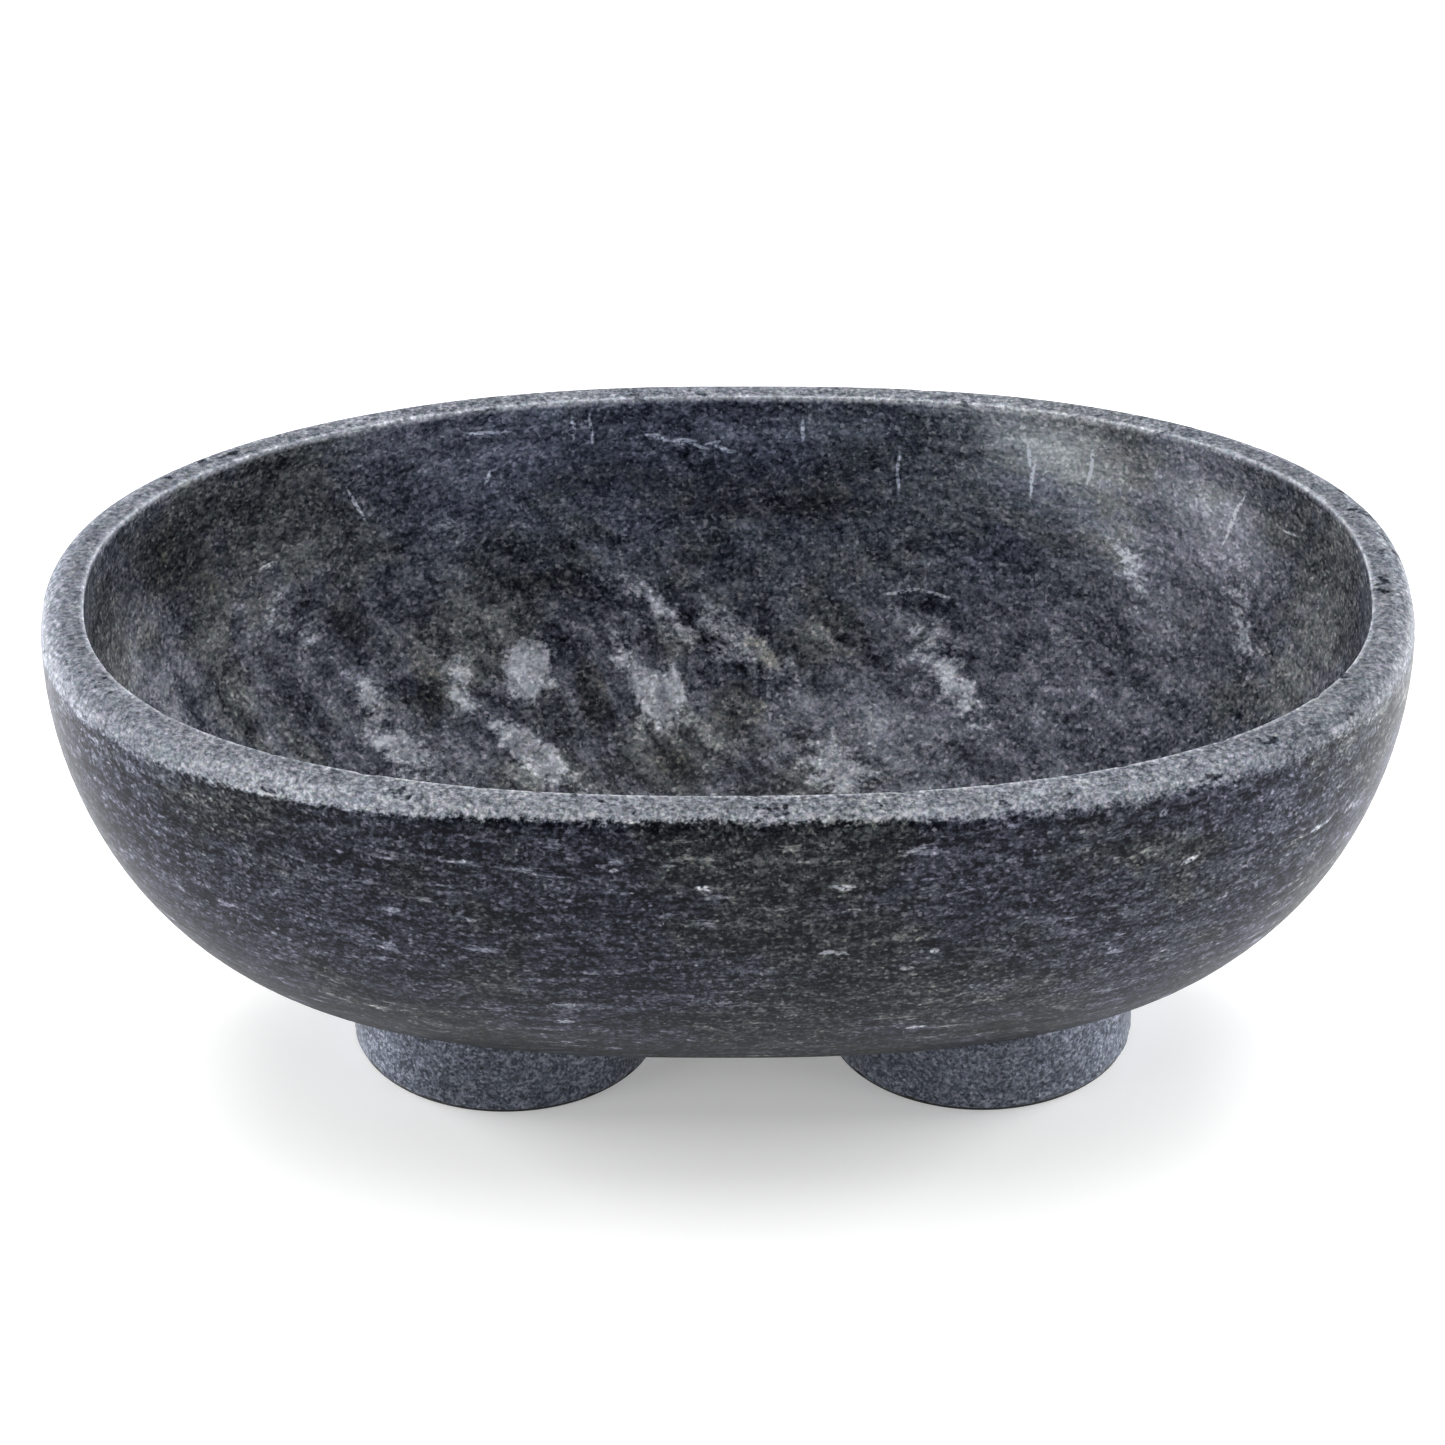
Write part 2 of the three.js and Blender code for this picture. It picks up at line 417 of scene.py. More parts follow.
def bowl_points(profile):
    """Vertices of every ring of the bowl, and then the middles of its underside and its floor."""
    angles = np.linspace(0, 2 * math.pi, PLAN_STEPS, endpoint=False)
    rings = []
    for half_length, height, _ in profile:
        x, y = oval_ring(np.float64(half_length), angles)
        rings.append(np.stack([x, y, np.full_like(x, height)], 1))
    return np.concatenate(rings + [[(0, 0, UNDERSIDE)], [(0, 0, UNDERSIDE + BOWL_FLOOR)]])


def paint_bowl(bowl, points, stretches):
    """Stores which vertices are inside, which carry the painted highlight along the rim's inner edge, and
    how far each is in a patch.
    """
    inner = [1.0 if name in ("lip", "inside", "floor") else 0.0 for name in stretches]
    edge = [1.0 if name == "arris" else 0.0 for name in stretches]
    edge[edge.index(1.0) - 1] = BESIDE_EDGE
    paint(bowl, "inner", np.append(np.repeat(inner, PLAN_STEPS), (0.0, 1.0)))
    paint(bowl, "edge", np.append(np.repeat(edge, PLAN_STEPS), (0.0, 0.0)))
    for name, patches in (("pale", PALE_PATCHES), ("dusky", DUSKY_PATCHES), ("milky", PAINTED_LIGHT_PATCHES)):
        paint(bowl, name, patch_strengths(points, patches))


def build_bowl():
    profile = bowl_profile()
    points = bowl_points(profile)
    bowl = mesh_object("marble_bowl", points, ring_faces(len(profile), PLAN_STEPS))
    paint_bowl(bowl, points, [name for _, _, name in profile])

    draw = np.random.default_rng(NICK_SEED)
    centres = rim_nick_centres(draw)
    press_in(bowl, lambda places: wave_depths(places) + nick_depths(places, centres, draw))
    return bowl


def disc_rings(name, centre_x, rings, first, last):
    """A body of rings about an upright axis, each a radius with a height or a function of x and y."""
    angles = np.linspace(0, 2 * math.pi, FOOT_STEPS, endpoint=False)
    points = []
    for radius, height in rings:
        x, y = centre_x + radius * np.cos(angles), radius * np.sin(angles)
        z = height(x, y) if callable(height) else np.full_like(x, height)
        points.append(np.stack([x, y, z], 1))
    points = np.concatenate(points + [[(centre_x, 0, first)], [(centre_x, 0, last)]])
    return mesh_object(name, points, ring_faces(len(rings), FOOT_STEPS))


def below_bowl(gap):
    """Height that stays a gap under the bowl's outside surface, as a function of x and y."""
    return lambda x, y: underside_height(x, y) - gap


def part_way_up(bottom, gap, share):
    """Height at a share of the way from a level bottom to just under the bowl, as a function of x and y."""
    return lambda x, y: bottom + share * (underside_height(x, y) - gap - bottom)


def centre_and_radius(node):
    """Middle x and radius of a round CAD node."""
    low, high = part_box(node)
    return (low.x + high.x) / 2, (high.x - low.x) / 2


def rounded_edge(radius, bottom, size, steps):
    """Rings of the rounded lower edge of a disc, from its underside to its wall."""
    turns = np.linspace(0, math.pi / 2, steps + 1)
    return [(radius - size * (1 - math.sin(a)), bottom + size * (1 - math.cos(a))) for a in turns]


def foot_rings(radius, bottom, hole):
    """Rings from under a foot's middle, up its wall, and over its seat to the pin's hole."""
    wall_gap = FOOT_TOP_GAP + FOOT_EDGE
    rings = [(radius * share, bottom) for share in (0.3, 0.6, 0.9)]
    rings += rounded_edge(radius, bottom, FOOT_EDGE, ARRIS_STEPS)
    for share in np.linspace(0, 1, FOOT_WALL_STEPS + 1)[1:]:
        rings.append((radius, part_way_up(bottom + FOOT_EDGE, wall_gap, share)))
    rings += [(radius - FOOT_EDGE * share, below_bowl(FOOT_TOP_GAP)) for share in (0.5, 1)]
    rings += [(r, below_bowl(FOOT_TOP_GAP)) for r in np.linspace(radius * 0.95, hole, SEAT_RINGS)]
    return rings


def build_foot(side):
    """A stone disc, cut on top to the bowl's curve, with a hole for the pin."""
    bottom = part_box(f"{side}_foot")[0].z
    centre_x, radius = centre_and_radius(f"{side}_foot")
    hole = centre_and_radius(f"{side}_pin")[1] + PIN_GAP
    hole_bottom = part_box(f"{side}_pin")[0].z - PIN_GAP
    rings = foot_rings(radius, bottom, hole) + [(hole, hole_bottom)]
    foot = disc_rings(f"{side}_stone_foot", centre_x, rings, bottom, hole_bottom)

    draw = np.random.default_rng(FOOT_NICK_SEED + SIDES.index(side))
    turns = draw.uniform(0, 2 * math.pi, FOOT_NICKS)
    centres = [
        (centre_x + radius * math.cos(a), radius * math.sin(a), bottom + FOOT_EDGE / 2) for a in turns
    ]
    press_in(foot, lambda places: nick_depths(places, centres, draw))
    return foot


def build_bed(side):
    """The thin washer of adhesive between a foot and the bowl, following the bowl's curve."""
    centre_x, radius = centre_and_radius(f"{side}_adhesive_bed")
    hole = centre_and_radius(f"{side}_pin")[1] + PIN_GAP
    radii = np.linspace(hole, radius, SEAT_RINGS)
    angles = np.linspace(0, 2 * math.pi, FOOT_STEPS, endpoint=False)
    loops = [(r, below_bowl(BED_BOTTOM_GAP)) for r in radii]
    loops += [(r, below_bowl(BED_TOP_GAP)) for r in radii[::-1]]
    points, faces = [], []
    for ring, (r, height) in enumerate(loops):
        x, y = centre_x + r * np.cos(angles), r * np.sin(angles)
        points.append(np.stack([x, y, height(x, y)], 1))
        start, following = ring * FOOT_STEPS, ((ring + 1) % len(loops)) * FOOT_STEPS
        for i in range(FOOT_STEPS):
            j = (i + 1) % FOOT_STEPS
            faces.append((start + i, start + j, following + j, following + i))
    return mesh_object(f"{side}_glue_line", np.concatenate(points), faces)


def build_pad(side):
    """The thin rubber disc under a foot."""
    low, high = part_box(f"{side}_pad")
    centre_x, radius = centre_and_radius(f"{side}_pad")
    rings = [(radius * share, low.z) for share in (0.5, 0.9)]
    rings += rounded_edge(radius, low.z, PAD_EDGE, PAD_EDGE_STEPS)
    rings += [(radius, high.z), (radius * 0.9, high.z), (radius * 0.5, high.z)]
    return disc_rings(f"{side}_soft_pad", centre_x, rings, low.z, high.z)


# ---- Materials ----

class Shader:
    """A material's node tree, with short ways to add nodes and to join them."""

    def __init__(self, name):
        self.material = bpy.data.materials.new(name)
        self.material.use_nodes = True
        self.nodes = self.material.node_tree.nodes
        self.links = self.material.node_tree.links
        self.surface = self.nodes["Principled BSDF"]

    def put(self, socket, value):
        if isinstance(value, bpy.types.NodeSocket):
            self.links.new(value, socket)
        else:
            socket.default_value = value

    def add(self, kind, inputs=(), **settings):
        node = self.nodes.new(kind)
        for key, value in settings.items():
            setattr(node, key, value)
        for key, value in dict(inputs).items():
            self.put(node.inputs[key], value)
        return node

    def math(self, operation, a, b=0.0, c=0.0):
        return self.add("ShaderNodeMath", {0: a, 1: b, 2: c}, operation=operation).outputs[0]

    def sum(self, *terms):
        total = terms[0]
        for term in terms[1:]:
            total = self.math("ADD", total, term)
        return total

    def times(self, a, b):
        return self.math("MULTIPLY", a, b)

    def spread(self, value, amount):
        """A value about one half, as a swing about zero."""
        return self.times(self.math("SUBTRACT", value, 0.5), amount)

    def between(self, share, at_zero, at_one):
        """A straight line from one value to another as the share goes from zero to one."""
        return self.math("MULTIPLY_ADD", share, at_one - at_zero, at_zero)

    def range(self, value, low, high, to_low=0.0, to_high=1.0):
        """A smooth step from to_low to to_high as the value goes from low to high."""
        inputs = {"Value": value, "From Min": low, "From Max": high, "To Min": to_low, "To Max": to_high}
        return self.add("ShaderNodeMapRange", inputs, interpolation_type="SMOOTHSTEP").outputs[0]

    def painted(self, name):
        """A number that was stored on the vertices."""
        return self.add("ShaderNodeAttribute", attribute_name=name).outputs["Fac"]

    def position(self):
        """Object position in millimetres."""
        where = self.add("ShaderNodeTexCoord").outputs["Object"]
        return self.add("ShaderNodeVectorMath", {0: where, "Scale": 1000.0}, operation="SCALE").outputs[0]

    def axes(self, position):
        return self.add("ShaderNodeSeparateXYZ", {0: position}).outputs

    def bent(self, position, size, amount):
        """Positions pushed about by smooth noise, both sizes in millimetres."""
        noise = self.noise(self.stretched(position, (size, size, size)), 3.0, 0.55, "Color")
        centred = self.add("ShaderNodeVectorMath", {0: noise, 1: (0.5, 0.5, 0.5)}, operation="SUBTRACT")
        push = self.add("ShaderNodeVectorMath", {0: centred.outputs[0], "Scale": amount}, operation="SCALE")
        moved = self.add("ShaderNodeVectorMath", {0: position, 1: push.outputs[0]}, operation="ADD")
        return moved.outputs[0]

    def stretched(self, position, sizes, turn=(0, 0, 0), centre=(0, 0, 0)):
        """Coordinates in which a feature of the given sizes in millimetres, turned by degrees, is 1 unit."""
        turns = tuple(math.radians(a) for a in turn)
        inputs = {"Vector": position, "Location": centre, "Rotation": turns, "Scale": sizes}
        return self.add("ShaderNodeMapping", inputs, vector_type="TEXTURE").outputs[0]

    def noise(self, position, detail=3.0, roughness=0.5, output="Fac"):
        inputs = {"Vector": position, "Scale": 1.0, "Detail": detail, "Roughness": roughness}
        return self.add("ShaderNodeTexNoise", inputs).outputs[output]

    def crystals(self, position, size):
        """A random colour in each crystal of the given size in millimetres."""
        return self.add("ShaderNodeTexVoronoi", {"Vector": position, "Scale": 1 / size}).outputs["Color"]

    def red(self, color):
        return self.add("ShaderNodeSeparateColor", {0: color}).outputs[0]

    def mix(self, share, a, b, blend="MIX"):
        node = self.add("ShaderNodeMix", data_type="RGBA", blend_type=blend)
        self.put(node.inputs["Factor"], share)
        self.put(node.inputs[6], a)
        self.put(node.inputs[7], b)
        return node.outputs[2]

    def ramp(self, value, stops):
        node = self.add("ShaderNodeValToRGB", {"Fac": value})
        elements = node.color_ramp.elements
        while len(elements) < len(stops):
            elements.new(0.5)
        for element, (place, color) in zip(elements, stops):
            element.position = place
            element.color = color
        return node.outputs["Color"]

    def bump(self, height, depth, strength):
        inputs = {"Height": height, "Distance": depth, "Strength": strength}
        return self.add("ShaderNodeBump", inputs).outputs["Normal"]

    def finish(self, color, roughness, normal=None, gloss=0.5):
        self.put(self.surface.inputs["Base Color"], color)
        self.put(self.surface.inputs["Roughness"], roughness)
        if normal is not None:
            self.put(self.surface.inputs["Normal"], normal)
        self.surface.inputs["Specular IOR Level"].default_value = gloss
        return self.material


def linear(value):
    """A linear shade from one spaced as the eye sees it."""
    value = max(value, 0)
    return value / 12.92 if value <= 0.04045 else ((value + 0.055) / 1.055) ** 2.4


def stone_tones(blue):
    """Stops of a ramp from black to pale grey, evenly spaced as the eye sees them, with a cool tint."""
    stops = []
    for step in range(11):
        tone = step / 10
        shade = (linear(tone - 0.6 * blue), linear(tone - 0.1 * blue), linear(tone + blue), 1.0)
        stops.append((tone, shade))
    return stops


def mark_strength(s, position, marks, half_breadth, front):
    """One on the fine pale marks of a list and zero elsewhere."""
    total = 0.0
    for x, height, length, tilt in marks:
        centre, along, across, outward = mark_frame(x * MM, height * MM, tilt, front)
        turn = Matrix((along, across, outward)).transposed().to_euler()
        degrees = tuple(math.degrees(a) for a in turn)
        sizes = (length / 2, half_breadth, MARK_REACH)
        local = s.stretched(position, sizes, degrees, tuple(centre / MM))
        distance = s.add("ShaderNodeVectorMath", {0: local}, operation="LENGTH").outputs["Value"]
        total = s.math("MAXIMUM", total, s.range(distance, 1.0, MARK_CORE))
    return total


CRYSTAL_SIZE = 0.75
CRYSTAL_COLOR = 0.05  # share of each crystal's own random colour
FIGURES = {  # coordinates, sizes in millimetres, turn in degrees, detail, roughness
    "grain": ("plain", (1.05, 1.05, 0.85), (0, 0, 0), 3.0, 0.7),
    "mottle": ("bent", (4, 4, 2.2), (0, 0, 0), 3.0, 0.6),
    "streaks": ("bedded", (9, 8, 1.9), (3, -2, 0), 4.0, 0.65),
    "bands": ("bedded", (34, 26, 4.5), (4, -3, 0), 4.0, 0.6),
    "clouds": ("bent", (28, 7, 7), (0, 33, -30), 4.0, 0.65),
    "flecks": ("bedded", (13, 11, 3.6), (3, -2, 0), 4.0, 0.62),
    "specks": ("plain", (7, 5, 4), (0, 0, 0), 3.0, 0.6),
    "hue": ("bent", (40, 34, 32), (0, 0, 0), 4.0, 0.65),
}
# Size and amount, in millimetres, of the smooth noise that pushes coordinates about.
BENDING, BEDDING, WAVERING = (70, 34), (110, 12), (6, 1.8)
# Values between which the grain mostly lies, and the higher ones at which the sparse features show.
GRAIN_RANGE = (0.3, 0.7)
FLECKS_SHOW, SPECKS_SHOW, GLINTS_SHOW = (0.61, 0.69), (0.63, 0.69), (0.86, 1.0)

# Stretches in millimetres, of x, of the distance from the middle, or of height. Over each of them something
# goes from nothing to its full strength.
LEFTWARDS, RIGHTWARDS, ENDWARDS, MIDDLEWARDS = (-40, -100), (20, 95), (90, 140), (120, 40)
LOW_INSIDE, HIGH_INSIDE, LOW_OUTSIDE, LOW_SIDES = (95, 50), (60, 95), (60, 15), (45, 12)

# The frosted stone of the rim: where it begins to fade and where it is gone, in millimetres under the top.
# It fades over more height at the ends and on the right, and it drops with the distance from the middle.
FROST_WHOLE, FROST_GONE = 1.3, 2.6
LONGER_FADE_AT_ENDS, LONGER_FADE_AT_RIGHT = 1.6, 1.4
DROP_PER_MM, DROP_AT_LEFT = 0.014, 1.3
FROST_RAGGED = {"grain": 2.6, "mottle": 2.4}
SHOULDER = (0.3, 1.2)

# The marble's tone is a sum, on a scale from black, 0, to white, 1. How much each part adds to it:
OUTER_TONE, INNER_TONE = 0.14, 0.308
LIFTS = {
    # painted light: lighter low inside, where the bowl's floor faces up to the light
    "low_inside": 0.02,
    # painted shade: darker towards the bottom of the outer wall, against the light that the glowing floor
    # throws up on it
    "low_outside": -0.1,
    "right_wall": 0.04,
    "right_rim": -0.055,
    "pale": 0.3,
    "dusky": -0.1,
    # painted light on the inner wall
    "milky": 0.24,
    # painted shade on the shoulder at the ends, against the glare of the low back lights
    "shoulder_end_shade": -0.18,
    "specks": -0.28,
    # painted highlight along the rim's inner edge
    "edge": 0.22,
    "mark": 0.42,
}
SWINGS = {  # how far a figure swings the tone, on plain stone and on the frosted rim
    "grain": (0.68, 1.15),
    "crystal": (0.2, 0.12),
    "glint": (0.1, 0.03),
    "mottle": (0.45, 0.3),
    "layers": (1.0, 0.3),
}
RIM_LIFTS = (0.325, 0.32)  # in the middle and at the ends
SHOULDER_HIGHLIGHT = (0.07, 0.12)  # painted highlight on the rounded shoulder, elsewhere and at the left end

COOL_TINT = (0.93, 0.98, 1.1, 1.0)
VIOLET_TINT = (0.98, 0.96, 1.06, 1.0)
OLIVE_TINT = (1.03, 1.02, 0.86, 1.0)
BROWN_TINT = (1.06, 1.0, 0.84, 1.0)
OLIVE_HUES, VIOLET_HUES = (0.5, 0.58), (0.52, 0.42)
# The hue of the outer wall is shifted towards olive about one x, and towards violet away from it.
OLIVE_MIDDLE = 18
OLIVE_REACH = (46, 16)  # distances from there, in millimetres
OLIVE_SHIFT = (-0.035, 0.045)  # the shifts at those distances
MARBLE_BLUE, FOOT_BLUE = 0.03, 0.045
MARBLE_GLOSS, FOOT_GLOSS = 0.09, 0.35
MARBLE_ROUGHNESS, FOOT_ROUGHNESS = (0.36, 0.46), (0.4, 0.52)
FROST_ROUGHNESS, LOW_ROUGHNESS = 0.2, 0.3
MARBLE_RELIEF, FOOT_RELIEF = 0.12 * MM, 0.2 * MM


def find_places(s, m):
    """Adds where on the bowl a point lies: inside or outside, how high, and how near an end."""
    m.place = s.position()
    m.x, _, m.height = s.axes(m.place)
    m.off_middle = s.math("ABSOLUTE", m.x)
    m.leftwards = s.range(m.x, *LEFTWARDS)
    m.rightwards = s.range(m.x, *RIGHTWARDS)
    m.endwards = s.range(m.off_middle, *ENDWARDS)
    m.inner = s.painted("inner")
    m.outer = s.math("SUBTRACT", 1.0, m.inner)
    m.low_inside = s.times(m.inner, s.range(m.height, *LOW_INSIDE))
    # Where shade is painted on the outer wall, towards the bottom.
    m.low_outside = s.times(m.outer, s.range(m.height, *LOW_OUTSIDE))


def grow_figure(s, m):
    """Adds the noises and crystals that the marble's figure is made of."""
    coordinates = {
        "plain": m.place,
        "bent": s.bent(m.place, *BENDING),
        "bedded": s.bent(m.place, *BEDDING),
    }
    for name, (kind, sizes, turn, detail, roughness) in FIGURES.items():
        setattr(m, name, s.noise(s.stretched(coordinates[kind], sizes, turn), detail, roughness))
    m.crystal = s.crystals(m.place, CRYSTAL_SIZE)
    m.random = s.red(m.crystal)


def place_marks(s, m):
    """Adds the listed patches, scratches and flakes, with borders broken by the grain."""
    ragged = s.sum(s.spread(m.mottle, 0.9), s.spread(m.grain, 0.35), s.spread(m.clouds, 0.4))
    m.pale = s.range(s.sum(s.painted("pale"), ragged), 0.3, 0.6)
    m.dusky = s.range(s.sum(s.painted("dusky"), ragged), 0.3, 0.7)
    # Painted light: the painted highlight and the lit patches, inside only.
    m.milky = s.times(s.painted("milky"), m.inner)
    wavering = s.bent(m.place, *WAVERING)
    scratches = mark_strength(s, wavering, SCRATCHES, SCRATCH_HALF_BREADTH, front=False)
    flakes = mark_strength(s, wavering, FLAKES, FLAKE_HALF_BREADTH, front=True)
    m.mark = s.times(s.math("MAXIMUM", scratches, flakes), s.range(m.grain, 0.34, 0.52))


def frost_rim(s, m):
    """Adds the frosted stone of the rim, and its shoulder. It ends in a ragged line, softer at the ends."""
    top = RIM_TOP / MM
    ragged_height = s.sum(
        m.height,
        s.times(m.off_middle, DROP_PER_MM),
        s.times(m.leftwards, DROP_AT_LEFT),
        s.spread(m.grain, FROST_RAGGED["grain"]),
        s.spread(m.mottle, FROST_RAGGED["mottle"]),
    )
    lowest = s.sum(
        top - FROST_GONE,
        s.times(m.endwards, -LONGER_FADE_AT_ENDS),
        s.times(m.rightwards, -LONGER_FADE_AT_RIGHT),
    )
    m.rim = s.times(m.outer, s.range(ragged_height, lowest, top - FROST_WHOLE))
    m.shoulder = s.times(m.rim, s.range(m.height, *(top - depth for depth in SHOULDER)))
    m.coarse_rim = s.times(m.rim, s.between(m.endwards, 1.0, 0.2))


def layered_figure(s, m):
    """The level bedding, stronger outside, with slanting clouds inside."""
    cloudy = s.sum(s.times(m.low_inside, 0.6), s.times(m.inner, 0.4))
    cloud_swing = s.range(m.x, 40, 100, 1.0, 0.55)
    return s.sum(
        s.times(s.spread(m.streaks, 0.46), s.between(m.outer, 0.3, 1.0)),
        s.spread(m.bands, 0.35),
        s.times(s.spread(m.clouds, cloud_swing), cloudy),
        s.times(s.range(m.flecks, *FLECKS_SHOW), s.between(m.outer, 0.05, 0.27)),
    )


def marble_tone(s, m):
    """The marble's tone, from black, 0, to white, 1."""
    parts = {
        "low_inside": m.low_inside,
        "low_outside": m.low_outside,
        "right_wall": s.times(m.rightwards, m.outer),
        "right_rim": s.times(m.rightwards, m.rim),
        "pale": m.pale,
        "dusky": m.dusky,
        "milky": m.milky,
        "shoulder_end_shade": s.times(m.shoulder, m.endwards),
        "specks": s.times(m.rim, s.range(m.specks, *SPECKS_SHOW)),
        "edge": s.painted("edge"),
        "mark": m.mark,
    }
    return s.sum(
        s.between(m.inner, OUTER_TONE, INNER_TONE),
        *(s.times(part, LIFTS[name]) for name, part in parts.items()),
        s.spread(m.grain, s.between(m.coarse_rim, *SWINGS["grain"])),
        s.spread(m.random, s.between(m.rim, *SWINGS["crystal"])),
        s.times(s.range(m.random, *GLINTS_SHOW), s.between(m.rim, *SWINGS["glint"])),
        s.spread(m.mottle, s.between(m.rim, *SWINGS["mottle"])),
        s.times(layered_figure(s, m), s.between(m.rim, *SWINGS["layers"])),
        s.times(m.rim, s.between(m.endwards, *RIM_LIFTS)),
        s.times(m.shoulder, s.between(m.leftwards, *SHOULDER_HIGHLIGHT)),
    )


def marble_color(s, m):
    """The tone as a colour: olive and violet in dark stone, brown in dusky patches, and cool high inside."""
    color = s.ramp(marble_tone(s, m), stone_tones(MARBLE_BLUE))
    from_olive = s.math("ABSOLUTE", s.math("SUBTRACT", m.x, OLIVE_MIDDLE))
    hue = s.sum(m.hue, s.times(m.outer, s.range(from_olive, *OLIVE_REACH, *OLIVE_SHIFT)))
    light_stone = s.math("MAXIMUM", s.math("MAXIMUM", m.rim, m.pale), m.mark)
    tinted = s.times(s.between(light_stone, 1.0, 0.15), s.between(m.inner, 1.0, 0.6))
    high_inside = s.times(m.inner, s.range(m.height, *HIGH_INSIDE))
    tints = [
        (OLIVE_TINT, s.times(tinted, s.range(hue, *OLIVE_HUES))),
        (VIOLET_TINT, s.times(tinted, s.range(hue, *VIOLET_HUES))),
        (BROWN_TINT, s.times(m.dusky, 0.8)),
        (COOL_TINT, s.times(high_inside, s.range(m.off_middle, *MIDDLEWARDS))),
    ]
    for tint, share in tints:
        color = s.mix(share, color, tint, "MULTIPLY")
    return s.mix(CRYSTAL_COLOR, color, m.crystal, "OVERLAY")


def marble_roughness(s, m):
    """Honed stone, rougher on the frosted rim and towards the underside."""
    return s.sum(
        s.range(m.grain, *GRAIN_RANGE, *MARBLE_ROUGHNESS),
        s.times(m.rim, FROST_ROUGHNESS),
        s.times(m.outer, s.range(m.height, *LOW_SIDES, 0.0, LOW_ROUGHNESS)),
    )


def marble_bowl_material():
    s = Shader("dark_marble")
    m = SimpleNamespace()
    find_places(s, m)
    grow_figure(s, m)
    place_marks(s, m)
    frost_rim(s, m)
    relief = s.bump(m.grain, MARBLE_RELIEF, 0.3)
    return s.finish(marble_color(s, m), marble_roughness(s, m), relief, MARBLE_GLOSS)


FOOT_TONE = 0.29
PIT_TONE = -0.25
PIT_SPACING = 5  # millimetres, though most places have no pit


def foot_material():
    """A finer, plainer marble than the bowl's, with a few small pits."""
    s = Shader("foot_marble")
    p = s.position()
    crystal = s.crystals(p, CRYSTAL_SIZE)
    grain = s.noise(s.stretched(p, (0.75, 0.75, 0.75)), 3.0, 0.7)
    mottle = s.noise(s.stretched(p, (3.5, 3.5, 3.0)), 3.0, 0.6)
    broad = s.noise(s.stretched(p, (20, 20, 12)), 3.0, 0.5)
    pit_place = s.add("ShaderNodeTexVoronoi", {"Vector": p, "Scale": 1 / PIT_SPACING})
    chosen = s.range(s.red(pit_place.outputs["Color"]), 0.7, 0.72)
    pit = s.times(chosen, s.range(pit_place.outputs["Distance"], 0.16, 0.1))
    tone = s.sum(
        FOOT_TONE,
        s.spread(grain, 0.8),
        s.spread(s.red(crystal), 0.25),
        s.spread(mottle, 0.25),
        s.spread(broad, 0.2),
        s.times(pit, PIT_TONE),
    )
    color = s.mix(CRYSTAL_COLOR, s.ramp(tone, stone_tones(FOOT_BLUE)), crystal, "OVERLAY")
    roughness = s.range(grain, *GRAIN_RANGE, *FOOT_ROUGHNESS)
    relief = s.bump(s.math("SUBTRACT", grain, s.times(pit, 1.5)), FOOT_RELIEF, 0.5)
    return s.finish(color, roughness, relief, FOOT_GLOSS)


# How the fine grain of the small parts varies their colour, roughness and surface.
SPECK_DARK, SPECK_LIGHT = 0.7, 1.35
SPECK_ROUGH = 0.15
SPECK_RELIEF = 0.08 * MM


def plain_material(name, color, roughness, grain, metallic=0.0):
    """A fine-grained material for the small parts: adhesive, rubber and steel."""
    s = Shader(name)
    speck = s.noise(s.stretched(s.position(), grain), 3.0, 0.6)
    dark = tuple(c * SPECK_DARK for c in color) + (1.0,)
    light = tuple(c * SPECK_LIGHT for c in color) + (1.0,)
    s.surface.inputs["Metallic"].default_value = metallic
    uneven = s.range(speck, *GRAIN_RANGE, roughness * (1 - SPECK_ROUGH), roughness * (1 + SPECK_ROUGH))
    return s.finish(s.mix(speck, dark, light), uneven, s.bump(speck, SPECK_RELIEF, 0.4))


def dress(piece, material):
    piece.data.materials.clear()
    piece.data.materials.append(material)


# ---- Camera, light and floor ----

CAMERA_TARGET = Vector((-0.0012, 0, 0.0824))
CAMERA_DISTANCE = 1.83
CAMERA_ELEVATION = 32.9  # degrees
CAMERA_SIDE = 0.37  # degrees that the camera stands to the bowl's left
CAMERA_LENS = 203.4  # millimetres, like the width of the sensor
SENSOR_WIDTH = 36

LIGHT_AIM = Vector((0, 0, 0.06))
SOFTBOXES = [  # name, place, size, watts
    ("overhead_softbox", (0, 0.2, 1.2), (1.5, 1.5), 19),
    ("back_left_softbox", (-0.6, 0.2, 0.09), (0.5, 0.14), 7.5),
    ("back_right_softbox", (0.6, 0.2, 0.09), (0.5, 0.14), 7.5),
    ("left_softbox", (-1.0, -0.42, 0.24), (0.5, 0.4), 4.5),
    ("right_softbox", (1.0, -0.42, 0.24), (0.5, 0.4), 3.5),
]
WHITE = (1, 1, 1, 1)
SKY_STRENGTH = 0.22
FLOOR_HALF = 6
FLOOR_GAP = 0.05 * MM  # keeps the floor from lying in one plane with the pads
FLOOR_SHADE = (0.92, 0.92, 0.92, 1)
FLOOR_GLOW = 0.26


def make_camera():
    """A long lens at the photograph's angle, 33 degrees above the bowl."""
    camera = bpy.data.objects.new("camera", bpy.data.cameras.new("camera"))
    bpy.context.scene.collection.objects.link(camera)
    up, side = math.radians(CAMERA_ELEVATION), math.radians(CAMERA_SIDE)
    back = Vector((-math.sin(side) * math.cos(up), -math.cos(side) * math.cos(up), math.sin(up)))
    camera.location = CAMERA_TARGET + back * CAMERA_DISTANCE
    camera.rotation_euler = (-back).to_track_quat("-Z", "Y").to_euler()
    camera.data.sensor_width = SENSOR_WIDTH
    camera.data.lens = CAMERA_LENS
    bpy.context.scene.camera = camera


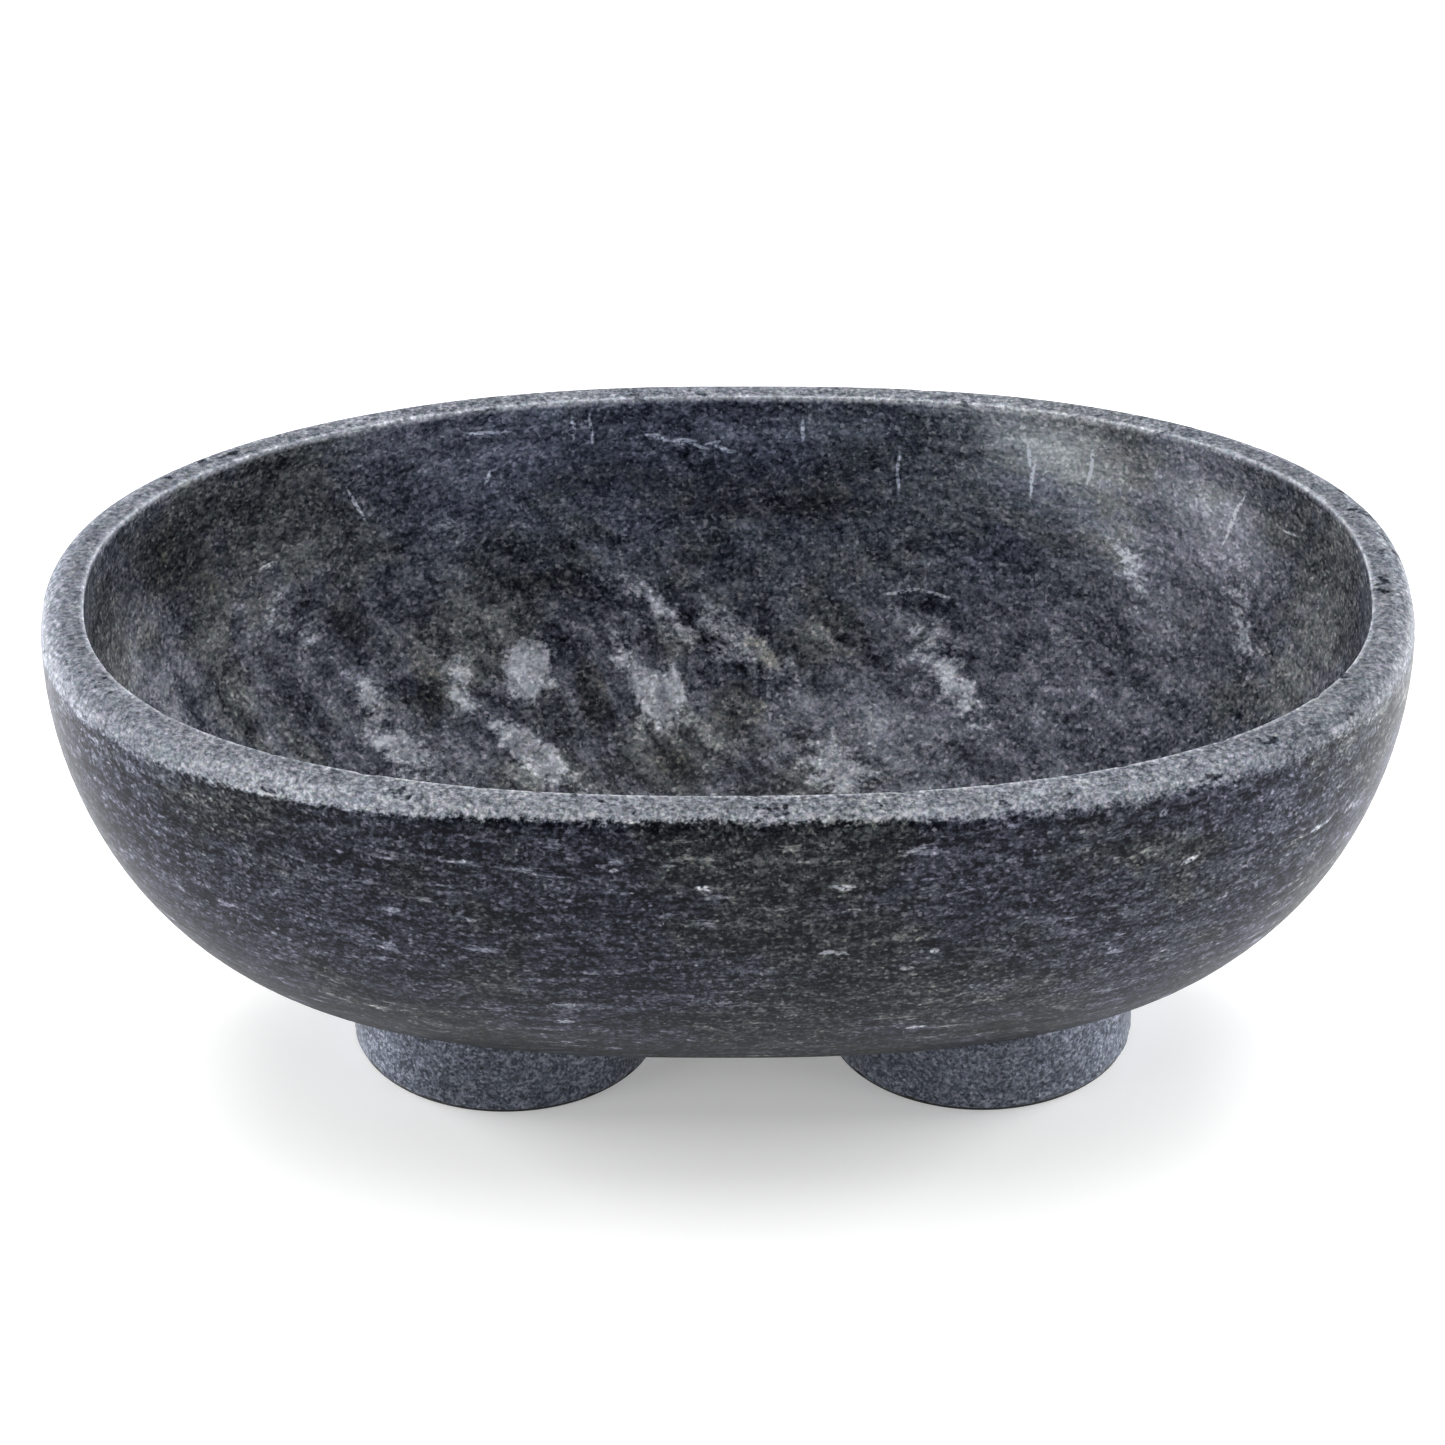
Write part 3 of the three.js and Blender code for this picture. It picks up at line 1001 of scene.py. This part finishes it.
def softbox(name, place, size, power):
    """A rectangular area light that faces the bowl."""
    light = bpy.data.objects.new(name, bpy.data.lights.new(name, "AREA"))
    bpy.context.scene.collection.objects.link(light)
    light.data.shape = "RECTANGLE"
    light.data.size, light.data.size_y = size
    light.data.energy = power
    light.location = place
    light.rotation_euler = (LIGHT_AIM - Vector(place)).to_track_quat("-Z", "Y").to_euler()


def make_lights():
    """Even white light from all round, and the softboxes, all seen without a tone curve."""
    world = bpy.data.worlds.new("studio")
    bpy.context.scene.world = world
    world.use_nodes = True
    sky = world.node_tree.nodes["Background"]
    sky.inputs["Color"].default_value = WHITE
    sky.inputs["Strength"].default_value = SKY_STRENGTH
    for settings in SOFTBOXES:
        softbox(*settings)
    bpy.context.scene.view_settings.view_transform = "Standard"


def make_floor():
    """A white floor that glows a little, as a light table does."""
    corners = [(x * FLOOR_HALF, y * FLOOR_HALF, -FLOOR_GAP) for x, y in ((-1, -1), (1, -1), (1, 1), (-1, 1))]
    floor = mesh_object("floor", corners, [(0, 1, 2, 3)])
    s = Shader("white_light_table")
    s.surface.inputs["Emission Color"].default_value = WHITE
    s.surface.inputs["Emission Strength"].default_value = FLOOR_GLOW
    dress(floor, s.finish(FLOOR_SHADE, roughness=0.9, gloss=0.2))


# ---- Assembly ----

def place(piece, node, slot, material):
    """Gives a piece its material, hangs it under the root, and hides the CAD node that it stands for. The
    slot is not used.
    """
    dress(piece, material)
    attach(piece, "root")
    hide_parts(node)


make_camera()
make_lights()
make_floor()
place(build_bowl(), "bowl", "bowl_stone", marble_bowl_material())
foot_marble = foot_material()
glue = plain_material("stone_adhesive", color=(0.02, 0.02, 0.022), roughness=0.6, grain=(0.8, 0.8, 0.8))
rubber = plain_material("black_rubber", color=(0.012, 0.012, 0.013), roughness=0.8, grain=(0.5, 0.5, 0.5))
steel = plain_material(
    "drawn_steel", color=(0.6, 0.61, 0.63), roughness=0.3, grain=(0.2, 0.2, 4.0), metallic=1.0
)
for side in SIDES:
    place(build_foot(side), f"{side}_foot", "foot_stone", foot_marble)
    place(build_bed(side), f"{side}_adhesive_bed", "adhesive", glue)
    place(build_pad(side), f"{side}_pad", "foot_pad", rubber)
    dress(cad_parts[f"{side}_pin"], steel)
